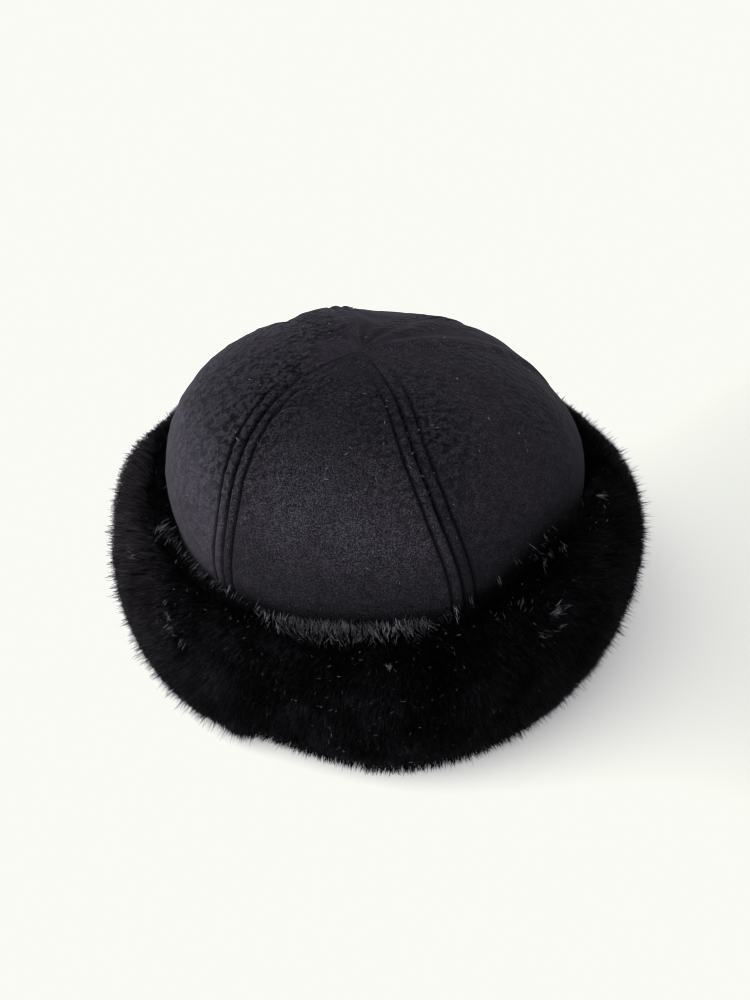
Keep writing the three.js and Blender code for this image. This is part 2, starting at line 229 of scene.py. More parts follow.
# Smooth fields that shape the cloth and the hair: length of the swells and seed, one more for each gore.
CLOTH_SWELLS = (34, 29)
CLOTH_RIPPLES = (13, 69)
CLOTH_PUCKERS = (6.5, 89)
NAP_SWIRL = (48, 36)
NAP_SWEEP = (30, 37)
PILE_HEIGHT = (16, 38)
PILE_CLUMPS = (9, 43)
PILE_SHADES = (30, 44)
STRAY_SWIRL = (7, 49)
STRAY_DROOP = (8, 50)
STRAY_GROUPS = (10, 51)
EDGE_LEAN = (26, 40)
EDGE_SWIRL = (14, 45)
UNDERSIDE_SWIRL = (40, 42)
GLINT_SWIRL = (12, 47)
GLINT_PATCHES = (15, 48)

# The fur round the hat: length and tone of the pile, the tone lighter on the left as painted light and
# darker on the right as painted shade, how far the top edge leans over the lip and how many pale hairs of
# painted sheen to the degree it has, and how far guard hairs stand out past the pile.
FUR = [
    Fur(-180, 5.8, 0.4, 0.5, 0.5, 3.8),
    Fur(-150, 6, 0.5, 0.5, 0.2, 3.8),
    Fur(-129, 6.2, 0.8, 0.5, 0, 4.4),
    Fur(-118, 3.7, 1, 0.6, 0, 5.4),
    Fur(-111, 7.2, 1.5, 0.7, 0, 6.4),
    Fur(-104, 11.2, 3.3, 0.8, 0, 7.2),
    Fur(-90, 8, 5.8, 0.9, 0, 8.6),
    Fur(-76, 8.6, 6, 0.9, 0.3, 8.8),
    Fur(-66, 6.2, 4, 0.9, 2, 8.4),
    Fur(-54, 5.2, 1.6, 0.8, 2.4, 8),
    Fur(-40, 7.4, 0.8, 0.7, 3, 7.4),
    Fur(-30, 6, 0.6, 0.4, 3.5, 7),
    Fur(-25, 5.3, 0.6, 0.1, 8, 6.6),
    Fur(-19, 5.3, 0.6, 0, 26, 6.2),
    Fur(-8, 5.2, 0.55, 0, 32, 6.2),
    Fur(4, 5.2, 0.5, 0.1, 21, 6.2),
    Fur(12, 5.4, 0.44, 0.2, 13, 6.2),
    Fur(16, 5.4, 0.42, 0.3, 3, 6),
    Fur(26, 6.2, 0.42, 0.2, 0.6, 5.8),
    Fur(40, 7.2, 0.4, 0.2, 0.3, 5.4),
    Fur(52, 8, 0.2, 0.2, 0.2, 5),
    Fur(66, 7, 0.12, 0.2, 0.1, 5),
    Fur(90, 6.8, 0.26, 0.3, 0, 5.4),
    Fur(103, 6.2, 0.3, 0.3, 0, 5.8),
    Fur(114, 4.4, 0.2, 0.3, 0, 5.4),
    Fur(138, 4.6, 0.3, 0.4, 0.2, 4.2),
    Fur(180, 5.8, 0.4, 0.5, 0.5, 3.8),
]

# Small ruffled tufts of pale hairs, pale as a painted glint: azimuth and share of the way down the cuff,
# number of hairs, spread, length, turn from the nap, and brightness of the painted glint.
TUFTS = [
    (-71, 0.27, 8, 1.4, 4, 60, 0.5),
    (-69, 0.06, 30, 1.6, 6, 160, 0.6),
    (-64.5, 0.03, 18, 1.4, 6, 140, 0.6),
    (-58, 0.01, 12, 1.2, 7, -50, 1),
    (-54, 0.29, 5, 0.4, 5.5, -150, 1),
    (-52, 0.32, 12, 0.5, 5, -100, 1),
    (-50, 0.35, 8, 0.6, 4, 20, 0.9),
    (-45, 0.37, 5, 1, 5, 0, 0.6),
    (-43, 0.01, 6, 0.4, 6, -120, 1),
    (-34, 0.64, 7, 1, 3, 170, 0.4),
    (3, 0.235, 12, 0.25, 4.4, 165, 0.9),
    (18, 0.01, 5, 0.25, 7, 170, 1),
    (24, 0.54, 8, 0.8, 3, 150, 0.5),
    (27, 0.135, 4, 0.35, 3, -110, 0.9),
    (32, 0.17, 10, 2.2, 3.4, -160, 0.22),
    (38.5, 0.25, 14, 0.6, 4.4, -110, 1),
    (39, 0.27, 9, 1, 4.4, -75, 0.6),
    (36, 0.29, 10, 1.6, 4, -60, 0.3),
    (41, 0.045, 26, 1.5, 4.6, 8, 0.09),
    (46, 0.07, 8, 1, 3, 20, 0.22),
    (66, 0.09, 6, 0.4, 3, 60, 0.32),
    (68.5, 0.06, 12, 0.6, 5.5, 25, 0.4),
]

# Length of pile that leaves a tuft in sight. Where it is longer, tufts are lifted.
PILE_COVERED = 5.2

# Small bulge of longer hair on the lower half of the cuff at the front left.
BULGE_AT = -32.3
BULGE_REACH = 5
BULGE_LENGTH = 6.6

# Place on the crown where most of the lint lies.
LINT_MIDDLE = (8, -48, 132)
LINT_REACH = 48
LINT_ELSEWHERE = 0.06
LINT_ROWS = slice(WALL_STEPS + 10, -3)


# Curves and waves

def catmull_rom(rows, count):
    """count + 1 points along the centripetal Catmull-Rom curve through the rows of a table."""
    rows = np.asarray(rows, float)
    last = len(rows) - 1
    padded = np.concatenate([[2 * rows[0] - rows[1]], rows, [2 * rows[-1] - rows[-2]]])
    points = []
    for step in range(count + 1):
        at = step * last / count
        index = min(int(at), last - 1)
        weight = at - index
        p0, p1, p2, p3 = padded[index:index + 4]
        d0, d1, d2 = (np.sqrt(np.linalg.norm(b - a, axis=-1, keepdims=True)) + 1e-9
                      for a, b in ((p0, p1), (p1, p2), (p2, p3)))
        start = ((p1 - p0) / d0 - (p2 - p0) / (d0 + d1) + (p2 - p1) / d1) * d1
        end = ((p2 - p1) / d1 - (p3 - p1) / (d1 + d2) + (p3 - p2) / d2) * d1
        cubic = 2 * p1 - 2 * p2 + start + end
        square = -3 * p1 + 3 * p2 - 2 * start - end
        points.append(p1 + start * weight + square * weight ** 2 + cubic * weight ** 3)
    return np.array(points)


def shares_along(points):
    """How far along a curve each of its points lies, from 0 to 1."""
    steps = np.linalg.norm(np.diff(points, axis=0), axis=-1)
    way = np.concatenate([np.zeros((1,) + steps.shape[1:]), np.cumsum(steps, axis=0)])
    return way / way[-1]


def smooth(value):
    value = np.clip(value, 0, 1)
    return value * value * (3 - 2 * value)


def outward(azimuth):
    angle = np.radians(azimuth)
    return np.stack([np.sin(angle), -np.cos(angle), np.zeros_like(angle)], axis=-1)


def unit(vectors):
    return vectors / np.maximum(np.linalg.norm(vectors, axis=-1, keepdims=True), 1e-12)


def table_value(table, at, column):
    """A column of a table, read between its rows by the first column."""
    return np.interp(at, [row[0] for row in table], [getattr(row, column) for row in table])


WAVES = 9
WAVES_GAIN = 2.2


def waves(points, swells, other=0):
    """A smooth field of about -1 to 1, the sum of waves that run all ways."""
    length, seed = swells
    random = np.random.default_rng(seed + other)
    ways = unit(random.normal(size=(WAVES, 3))) * 2 * math.pi / length
    ways *= random.uniform(0.6, 1.6, size=(WAVES, 1))
    phases = random.uniform(0, 2 * math.pi, size=WAVES)
    return np.sin(points @ ways.T + phases).mean(axis=-1) * WAVES_GAIN


# Form of the crown

CURVE_STEPS = 600
SIZE_CURVE = catmull_rom([(width, height, depth) for height, width, depth, _, _ in DOME_RINGS], CURVE_STEPS)
MIDDLE_CURVE = catmull_rom([(right, back, height) for height, _, _, right, back in DOME_RINGS], CURVE_STEPS)
DOME_SHARES = shares_along(SIZE_CURVE)


def crown_base(level, azimuth):
    """Points of the smooth crown: level -1 is its hem, 0 the rim of the dome and 1 the apex."""
    level, azimuth = np.broadcast_arrays(np.asarray(level, float), np.asarray(azimuth, float))
    below = np.clip(-level, 0, 1)
    wall = RIM_RADIUS + (HEM_RADIUS - RIM_RADIUS) * below
    width, height, depth = (np.interp(level, DOME_SHARES, SIZE_CURVE[:, i]) for i in range(3))
    right, back = (np.interp(level, DOME_SHARES, MIDDLE_CURVE[:, i]) for i in range(2))
    width = np.where(level < 0, wall, width)
    depth = np.where(level < 0, wall, depth)
    height = np.where(level < 0, RIM_HEIGHT + (HEM_HEIGHT - RIM_HEIGHT) * below, height)
    way = outward(azimuth)
    return np.stack([right + way[..., 0] * width, back + way[..., 1] * depth, height], axis=-1)


def crown_normal(level, azimuth):
    reach = 0.02
    low = crown_base(np.maximum(level - reach, -1), azimuth)
    high = crown_base(np.minimum(level + reach, 1), azimuth)
    side = crown_base(level, azimuth + 1) - crown_base(level, azimuth - 1)
    return unit(np.cross(side, high - low))


def seam_azimuth(seam, level):
    turned = smooth((level - seam.turn_from) / (seam.turn_to - seam.turn_from))
    return seam.hem + (seam.apex - seam.hem) * turned + seam.bow * np.sin(math.pi * np.clip(level, 0, 1))


def seam_degrees(seam, level, distance):
    """Degrees round the crown that stand for a distance square to a seam."""
    step = 0.01
    azimuth = seam_azimuth(seam, level)
    above = np.minimum(level + step, 1)
    along = unit(crown_base(above, seam_azimuth(seam, above))
                 - crown_base(level - step, seam_azimuth(seam, level - step)))
    around = (crown_base(level, azimuth + 1) - crown_base(level, azimuth - 1)) / 2
    length = np.maximum(np.linalg.norm(around, axis=-1), 1e-6)
    slant = (along * around).sum(axis=-1) / length
    return distance / (length * np.sqrt(np.maximum(1 - slant ** 2, 0.1)))


def right_seam(index):
    seam = SEAMS[(index + 1) % len(SEAMS)]
    turn = 360 if index + 1 == len(SEAMS) else 0
    return seam._replace(hem=seam.hem + turn, apex=seam.apex + turn)


def cloth_lift(gore, across, distance, seam_depth, stitched, level):
    """How far the cloth stands off the smooth dome."""
    shown = smooth(level / WELT_RISE)
    fade = smooth((1 - level) / WELT_FADE)
    reach = np.where(level < gore.fullest, level / gore.fullest, (1 - level) / (1 - gore.fullest))
    puff = gore.puff * np.sin(math.pi * across) * smooth(reach)
    softened = smooth((level - stitched) / SOFTENING)
    welt = table_value(WELT, distance, "lift")
    fold = -FOLD_DEPTH * seam_depth * (1 - smooth(distance / FOLD_WIDTH))
    return shown * (puff + fade * (welt * (1 - softened) + fold * softened))


def dented(points):
    """How far the dents and swellings move points of the smooth dome out."""
    total = np.zeros(points.shape[:-1])
    for azimuth, level, reach, lift in DENTS:
        distance = np.linalg.norm(points - crown_base(level, azimuth), axis=-1)
        total += lift * np.exp(-(distance / reach) ** 2)
    return total


def pucker_share(gore, left, right, across, width, level):
    """How much of its puckers each point has: beside the seams that are folds, or all over the gore."""
    nearest = np.minimum(across, 1 - across) * width[:, None]
    gathered = np.where(across < 0.5, left.depth > 0, right.depth > 0)
    by_seam = gathered * np.minimum(1, PUCKER_STRENGTH * np.exp(-nearest / PUCKER_REACH))
    faded = 1 - PUCKER_FADED * smooth((level - PUCKER_END) / PUCKER_FADE)
    return np.maximum(gore.ruffled, by_seam) * smooth((level - PUCKER_START) / PUCKER_RISE) * faded


def gore_sheet(index):
    """Outer points of a gore and its ways out, as grids of levels and columns."""
    gore, left, right = GORES[index], SEAMS[index], right_seam(index)
    wall = np.linspace(-1, 0, WALL_STEPS, endpoint=False)
    level = np.concatenate([wall, np.linspace(0, 1, DOME_STEPS + 1)])[:, None]
    left_azimuth, right_azimuth = seam_azimuth(left, level), seam_azimuth(right, level)
    width = np.linalg.norm(crown_base(level, left_azimuth) - crown_base(level, right_azimuth), axis=-1)[:, 0]
    squeeze = np.minimum(1, width / NARROW_GORE)[:, None]
    distance = np.array([row.distance for row in WELT])
    away = np.where(distance == 0, SEAM_GAP / 2, distance * squeeze)
    first = left_azimuth + seam_degrees(left, level, away)
    last = (right_azimuth - seam_degrees(right, level, away))[:, ::-1]
    between = np.linspace(0, 1, PLAIN_COLUMNS + 1)[1:-1]
    middle = first[:, -1:] + (last[:, :1] - first[:, -1:]) * between
    azimuth = np.concatenate([first, middle, last], axis=1)
    plain = np.full(PLAIN_COLUMNS - 1, WELT[-1].distance)
    distances = np.concatenate([distance, plain, distance[::-1]])
    by_right = np.arange(azimuth.shape[1]) >= azimuth.shape[1] - len(WELT)
    depths = np.where(by_right, right.depth, left.depth)
    stitched = np.where(by_right, right.stitched, left.stitched)
    across = (azimuth - left_azimuth) / (right_azimuth - left_azimuth)
    level = np.broadcast_to(level, azimuth.shape)
    base = crown_base(level, azimuth)
    normal = crown_normal(level, azimuth)
    pucker = pucker_share(gore, left, right, across, width, level)
    lift = cloth_lift(gore, across, distances, depths, stitched, level) + dented(base)
    lift = lift + PUCKER_DEPTH * gore.crinkle * pucker * waves(base, CLOTH_PUCKERS, index)
    free = smooth(distances / WELT[-1].distance) * smooth(level / WELT_RISE) * smooth((1 - level) / WELT_FADE)
    swells = waves(base, CLOTH_SWELLS, index) + RIPPLE_SHARE * waves(base, CLOTH_RIPPLES, index)
    lift = lift + SWELL_LIFT * free * swells
    # Painted shade in the seam's grooves, fainter at the rim, and along the line of its joint.
    sewn = 1 - smooth((level - stitched) / SOFTENING)
    dark = sewn * table_value(WELT, distances, "dark")
    dark = dark * (GROOVE_LOW_SHADE + (1 - GROOVE_LOW_SHADE) * smooth(level / GROOVE_SHADE_RISE))
    joint = np.where(across < 0.5, left.line, right.line) * (1 - smooth(distances / SEAM_LINE))
    return base + normal * lift[..., None], normal, {"pucker": pucker, "seam_shade": np.maximum(dark, joint)}


# Form of the cuff

def cuff_forms(azimuth):
    """Rows of the cuff's table at azimuths, read with the same cubic as the CAD's."""
    rows = np.array([form._replace(azimuth=form.azimuth + turn)
                     for turn in (-360, 0, 360) for form in CUFF_FORM])
    at = rows[:, 0]
    index = np.clip(np.searchsorted(at, azimuth, side="right") - 1, 1, len(at) - 3)
    half = (at[index + 1] - at[index]) / 2
    before = (half / (at[index] - at[index - 1]))[:, None]
    after = (half / (at[index + 2] - at[index + 1]))[:, None]
    p = ((azimuth - at[index]) / (2 * half))[:, None]
    previous = -before * p ** 3 + 2 * before * p ** 2 - before * p
    low = (1 + before) * p ** 3 - (1.5 + 2 * before) * p ** 2 + (before - 0.5) * p + 1
    high = -(1 + after) * p ** 3 + (1.5 + after) * p ** 2 + 0.5 * p
    following = after * p ** 3 - after * p ** 2
    values = (previous * rows[index - 1] + low * rows[index]
              + high * rows[index + 1] + following * rows[index + 2])
    return Form(*values.T)


CUFF_AZIMUTHS = np.arange(-180, 180.01, 1)
CUFF_SHARES = np.linspace(0, 1, 97)


def cuff_grid():
    """Radius and height of the cuff's outside over azimuths and shares of the way down it."""
    form = cuff_forms(CUFF_AZIMUTHS)
    out, down = SHOULDER
    inward, up = LOW_POINT
    rows = [
        (form.top_radius - CUFF_LIP, form.top_height - CUFF_LIP_DROP),
        (form.top_radius, form.top_height),
        (form.top_radius + (form.wide_radius - form.top_radius) * out,
         form.top_height + (form.wide_height - form.top_height) * down),
        (form.wide_radius, form.wide_height),
        (form.wide_radius + (form.foot_radius - form.wide_radius) * inward, form.wide_height * up),
        (form.foot_radius - CUFF_REST_INSET, np.zeros_like(form.foot_radius)),
    ]
    curve = catmull_rom(np.array([np.stack(row, axis=-1) for row in rows]), 160)
    shares = shares_along(curve)
    grid = np.empty((len(CUFF_AZIMUTHS), len(CUFF_SHARES), 3))
    for i, azimuth in enumerate(CUFF_AZIMUTHS):
        radius = np.interp(CUFF_SHARES, shares[:, i], curve[:, i, 0])
        grid[i] = outward(azimuth) * radius[:, None]
        grid[i, :, 2] = np.interp(CUFF_SHARES, shares[:, i], curve[:, i, 1])
    return grid


def grid_normals(grid):
    """Ways out of a grid that closes round the hat."""
    ring = np.concatenate([grid[-2:-1], grid, grid[1:2]])
    side = ring[2:] - ring[:-2]
    up = np.gradient(grid, axis=1)
    return unit(np.cross(up, side))


CUFF_GRID = cuff_grid()
CUFF_NORMALS = grid_normals(CUFF_GRID)


def read_grid(grid, azimuth, share):
    """Values of a cuff grid between its rows and columns."""
    x = np.minimum(np.mod(azimuth + 180, 360), 359.999)
    y = np.clip(share, 0, 1) * (len(CUFF_SHARES) - 1)
    column = np.minimum(y.astype(int), len(CUFF_SHARES) - 2)
    row = x.astype(int)
    u, v = (x - row)[:, None], (y - column)[:, None]
    return ((grid[row, column] * (1 - u) + grid[row + 1, column] * u) * (1 - v)
            + (grid[row, column + 1] * (1 - u) + grid[row + 1, column + 1] * u) * v)


def wall_radius(height):
    return np.interp(height, [HEM_HEIGHT, RIM_HEIGHT], [HEM_RADIUS, RIM_RADIUS])


# Meshes

def linked(name, data):
    piece = bpy.data.objects.new(name, data)
    bpy.context.scene.collection.objects.link(piece)
    return piece


def mesh_piece(name, points, faces, material, sizes=None, uv=None, fields=None):
    """A mesh piece from points in millimetres and the corners of its faces, quads if no sizes are given."""
    mesh = bpy.data.meshes.new(name)
    corners = np.asarray(faces, np.int32).ravel()
    sizes = np.full(len(faces), 4) if sizes is None else sizes
    mesh.vertices.add(len(points))
    mesh.vertices.foreach_set("co", (np.asarray(points) * MM).astype(np.float32).ravel())
    mesh.loops.add(len(corners))
    mesh.loops.foreach_set("vertex_index", corners)
    mesh.polygons.add(len(sizes))
    mesh.polygons.foreach_set("loop_start", np.concatenate([[0], np.cumsum(sizes)[:-1]]).astype(np.int32))
    mesh.polygons.foreach_set("use_smooth", np.ones(len(sizes), bool))
    mesh.update(calc_edges=True)
    if uv is not None:
        layer = mesh.uv_layers.new(name="OFBake")
        layer.data.foreach_set("uv", uv[corners].astype(np.float32).ravel())
    for key, values in (fields or {}).items():
        attribute = mesh.attributes.new(key, "FLOAT", "POINT")
        attribute.data.foreach_set("value", values.astype(np.float32))
    mesh.materials.append(material)
    return linked(name, mesh)


def closed_sheet(name, outer, inner, material, fields):
    """The closed piece that an outer grid and an inner grid bound."""
    rows, columns = outer.shape[:2]
    count = rows * columns
    index = np.arange(count).reshape(rows, columns)
    quads = np.stack([index[:-1, :-1], index[:-1, 1:], index[1:, 1:], index[1:, :-1]], axis=-1).reshape(-1, 4)
    faces = [quads, quads[:, ::-1] + count]
    for line, turned in ((index[0], False), (index[-1], True), (index[:, 0], True), (index[:, -1], False)):
        a, b = (line[1:], line[:-1]) if turned else (line[:-1], line[1:])
        faces.append(np.stack([b, a, a + count, b + count], axis=-1))
    points = np.concatenate([outer.reshape(-1, 3), inner.reshape(-1, 3)])
    doubled = {key: np.tile(values.ravel(), 2) for key, values in fields.items()}
    return mesh_piece(name, points, np.concatenate(faces), material, fields=doubled)


# Materials

def new_material(name, roughness, specular):
    material = bpy.data.materials.new(name)
    material.use_nodes = True
    shader = material.node_tree.nodes["Principled BSDF"]
    shader.inputs["Roughness"].default_value = roughness
    shader.inputs["Specular IOR Level"].default_value = specular
    return material, material.node_tree, shader


def node(tree, kind, inputs):
    """A shader node whose inputs are set to numbers or linked to sockets."""
    made = tree.nodes.new("ShaderNode" + kind)
    for key, value in inputs.items():
        if isinstance(value, bpy.types.NodeSocket):
            tree.links.new(value, made.inputs[key])
        else:
            made.inputs[key].default_value = value
    return made


def noise(tree, at, scale, detail=2.0, distortion=0.0):
    """Noise of so many swells to the metre."""
    inputs = {"Vector": at, "Scale": scale, "Detail": detail, "Distortion": distortion}
    return node(tree, "TexNoise", inputs).outputs["Fac"]


def stretched(tree, at, scale):
    return node(tree, "Mapping", {"Vector": at, "Scale": scale}).outputs["Vector"]


def coordinates(tree, kind="Object"):
    return node(tree, "TexCoord", {}).outputs[kind]


def spread(tree, value, low, high, to_low=0.0, to_high=1.0):
    """A value's stretch from low to high mapped smoothly to another stretch."""
    inputs = {"Value": value, "From Min": low, "From Max": high, "To Min": to_low, "To Max": to_high}
    made = node(tree, "MapRange", inputs)
    made.interpolation_type = "SMOOTHSTEP"
    return made.outputs["Result"]


def mixed(tree, share, *colours):
    """A mix of two colours, which are tuples or sockets."""
    made = node(tree, "Mix", {"Factor": share})
    made.data_type = "RGBA"
    sockets = [socket for socket in made.inputs if socket.type == "RGBA"]
    for socket, colour in zip(sockets, colours):
        if isinstance(colour, tuple):
            socket.default_value = (*colour, 1)
        else:
            tree.links.new(colour, socket)
    return next(socket for socket in made.outputs if socket.type == "RGBA")


def painted(tree, shader, share, *colours):
    tree.links.new(mixed(tree, share, *colours), shader.inputs["Base Color"])


def maths(tree, kind, *values):
    made = node(tree, "Math", dict(enumerate(values)))
    made.operation = kind
    return made.outputs["Value"]


def bumped(tree, shader, height, strength, distance, **normal):
    inputs = {"Height": height, "Strength": strength, "Distance": distance, **normal}
    bump = node(tree, "Bump", inputs).outputs["Normal"]
    tree.links.new(bump, shader.inputs["Normal"])
    return bump


def field(tree, name):
    made = tree.nodes.new("ShaderNodeAttribute")
    made.attribute_name = name
    return made.outputs["Fac"]


def tinted(colour, shade):
    return tuple(value * shade for value in colour)


# Colours from dark to light: the darkest wool colour is painted shade, and the pale hair colours are
# painted glints and sheen on the fur as well as the colour of the lint. Then the heights between which
# painted shade darkens the wool to the top and the foot.
WOOL_DARK = (0.0073, 0.0067, 0.0085)
WOOL_LIGHT = (0.0204, 0.0187, 0.0228)
WOOL_FLECK = (0.086, 0.083, 0.094)
WOOL_PAINTED_SHADE = (0.0015, 0.0014, 0.0018)
THREAD_COLOURS = ((0.001, 0.001, 0.0013), (0.0035, 0.0033, 0.004))
UNDERFUR_COLOURS = ((0.0005, 0.0005, 0.0006), (0.002, 0.0019, 0.0023))
GUARD_COLOURS = ((0.0006, 0.0006, 0.0008), (0.052, 0.0465, 0.052))
GLINT_AND_LINT_COLOURS = ((0.006, 0.006, 0.0075), (0.26, 0.26, 0.29))
WOOL_TOP_SHADE_TO = 145
WOOL_SHADED_FROM = 124
WOOL_SHADED_TO = 96


def crown_wool(name, gore):
    """Black wool cloth: a fine pale fleck, a felted nap, puckers by the seams, and painted shade in the
    grooves, pucker hollows, top and foot, with each gore lighter or darker as painted light and shade.
    """
    material, tree, shader = new_material(name, 0.92, 0.02)
    shader.inputs["Sheen Weight"].default_value = 0.015
    shader.inputs["Sheen Roughness"].default_value = 0.42
    shader.inputs["Sheen Tint"].default_value = (0.86, 0.82, 0.95, 1)
    at = coordinates(tree)
    puckers = noise(tree, stretched(tree, at, (1, 1, 0.9)), 350, 1.5, 0.3)
    uneven = spread(tree, noise(tree, at, 30, 1), 0.35, 0.6, 0.55, 1)
    puckered = maths(tree, "MULTIPLY", field(tree, "pucker"), uneven)
    # Painted shade in the hollows of the puckers.
    pit_shade = maths(tree, "MULTIPLY", spread(tree, puckers, 0.52, 0.4), puckered)
    mottle = spread(tree, noise(tree, at, 260, 3), 0.3, 0.7)
    grain = spread(tree, noise(tree, at, 1250, 2), 0.35, 0.7)
    # Each gore's shade makes its wool lighter or darker: painted light on the left gore, painted shade on the
    # right.
    ground = mixed(tree, maths(tree, "MULTIPLY", mottle, grain),
                   tinted(WOOL_DARK, gore.shade), tinted(WOOL_LIGHT, gore.shade))
    specks = spread(tree, noise(tree, at, 2300, 0), 0.5, 0.64, 0, 0.6 * gore.fleck)
    bright = spread(tree, noise(tree, at, 1300, 0), 0.77, 0.83, 0, gore.fleck)
    patches = spread(tree, noise(tree, at, 60, 2), 0.3, 0.62, 0.7, 1)
    flecks = maths(tree, "MULTIPLY", maths(tree, "MAXIMUM", specks, bright), patches)
    height = node(tree, "SeparateXYZ", {"Vector": at})
    # Painted shade that darkens the wool to the top, and painted shadow of the fur on its foot.
    top_shade = spread(tree, height.outputs["Z"], gore.darker_from * MM, WOOL_TOP_SHADE_TO * MM, 0, gore.top_darker)
    low = spread(tree, height.outputs["Z"], WOOL_SHADED_FROM * MM, WOOL_SHADED_TO * MM, 0, gore.low_darker)
    ground = mixed(tree, top_shade, ground, WOOL_PAINTED_SHADE)
    flecked = maths(tree, "MULTIPLY", flecks, spread(tree, top_shade, 0, 1, 1, 0.4))
    cloth = mixed(tree, low, mixed(tree, flecked, ground, WOOL_FLECK), WOOL_PAINTED_SHADE)
    # Painted shade in the grooves, along the joints and in the hollows of the puckers.
    painted_shade = maths(tree, "MAXIMUM", field(tree, "seam_shade"), maths(tree, "MULTIPLY", pit_shade, 0.9 * gore.crinkle))
    painted(tree, shader, painted_shade, cloth, WOOL_PAINTED_SHADE)
    folds = bumped(tree, shader, maths(tree, "MULTIPLY", puckers, puckered), gore.crinkle, 0.007)
    bumped(tree, shader, noise(tree, at, 1500), 0.5, 0.0003, Normal=folds)
    return material


def fibrous(name, roughness, specular, stretch, scale, detail, colours, strength, depth):
    """Matt fibres, whose noise gives them their colour and their relief."""
    material, tree, shader = new_material(name, roughness, specular)
    fibres = noise(tree, stretched(tree, coordinates(tree), stretch), scale, detail)
    painted(tree, shader, fibres, *colours)
    bumped(tree, shader, fibres, strength, depth)
    return material


def hair_material(name, colours, roughness, specular):
    """Glossy hair whose colour follows the tone of each hair."""
    material, tree, shader = new_material(name, roughness, specular)
    shade = mixed(tree, field(tree, "tone"), *colours)
    patches = spread(tree, noise(tree, coordinates(tree), 36), 0.3, 0.7, 0.5, 1.0)
    painted(tree, shader, patches, colours[0], shade)
    return material


# Pieces of the crown

STITCH_PITCH = 3.3
STITCH_LENGTH = 2.9
STITCH_RADIUS = 0.3
STITCH_SUNK = 0.2
STITCH_SIDES = 6
STITCH_START = 0.02
STITCH_OVERRUN = 0.4
STITCH_ACROSS = 0.08
STITCH_AHEAD = 0.2
LINE_STEPS = 500

# Sections of a stitch: the place along it, in its lengths, and the share of its full radius.
STITCH_SECTIONS = [(-0.5, 0.25), (-0.3, 0.9), (0.0, 1.0), (0.3, 0.9), (0.5, 0.25)]


def stitch_line(index, side):
    """Points of a row of stitches, in the groove beside a seam, and the ways out there."""
    seam = SEAMS[index]
    level = np.linspace(STITCH_START, seam.stitched + SOFTENING * STITCH_OVERRUN, LINE_STEPS)
    neighbour = right_seam(index) if side > 0 else SEAMS[index - 1]
    turn = -360 if side < 0 and index == 0 else 0
    azimuth = seam_azimuth(seam, level)
    beyond = crown_base(level, seam_azimuth(neighbour, level) + turn)
    width = np.linalg.norm(crown_base(level, azimuth) - beyond, axis=-1)
    azimuth = azimuth + side * seam_degrees(seam, level, WELT_ROW * np.minimum(1, width / NARROW_GORE))
    across, distance = np.full_like(level, STITCH_ACROSS), np.full_like(level, WELT_ROW)
    lift = cloth_lift(GORES[index], across, distance, seam.depth, seam.stitched, level)
    base, normals = crown_base(level, azimuth), crown_normal(level, azimuth)
    return base + normals * (lift + dented(base) + STITCH_SUNK)[:, None], normals


def stitch_rings(line, normals, way, middle):
    """Rings of points round a stitch, whose ends go down into the cloth."""
    def read(values, place):
        return np.array([np.interp(place, way, values[:, k]) for k in range(3)])

    angle = np.linspace(0, 2 * math.pi, STITCH_SIDES, endpoint=False)[:, None]
    rings = []
    for along, size in STITCH_SECTIONS:
        place = middle + along * STITCH_LENGTH
        centre, up = read(line, place), unit(read(normals, place))
        beside = unit(np.cross(read(line, place + STITCH_AHEAD) - centre, up))
        centre = centre - up * STITCH_RADIUS * (1 - size)
        rings.append(centre + STITCH_RADIUS * size * (np.cos(angle) * beside + np.sin(angle) * up))
    return rings


def topstitching(material):
    """Two rows of stitches along every seam, sunk in their grooves."""
    rings = []
    for index in range(len(SEAMS)):
        for side in (-1, 1):
            line, normals = stitch_line(index, side)
            way = np.concatenate([[0], np.cumsum(np.linalg.norm(np.diff(line, axis=0), axis=-1))])
            for middle in np.arange(STITCH_PITCH, way[-1] - STITCH_PITCH, STITCH_PITCH):
                rings += stitch_rings(line, normals, way, middle)
    sections = len(STITCH_SECTIONS)
    ring, side = np.meshgrid(np.arange(sections - 1), np.arange(STITCH_SIDES), indexing="ij")
    a, b = ring * STITCH_SIDES + side, ring * STITCH_SIDES + (side + 1) % STITCH_SIDES
    quads = np.stack([a, b, b + STITCH_SIDES, a + STITCH_SIDES], axis=-1).reshape(-1, 4)
    starts = np.arange(0, len(rings), sections)[:, None, None] * STITCH_SIDES
    faces = (starts + quads).reshape(-1, 4)
    return mesh_piece("topstitching", np.concatenate(rings), faces, material)


# Pieces of the cuff, and the lint of its fur

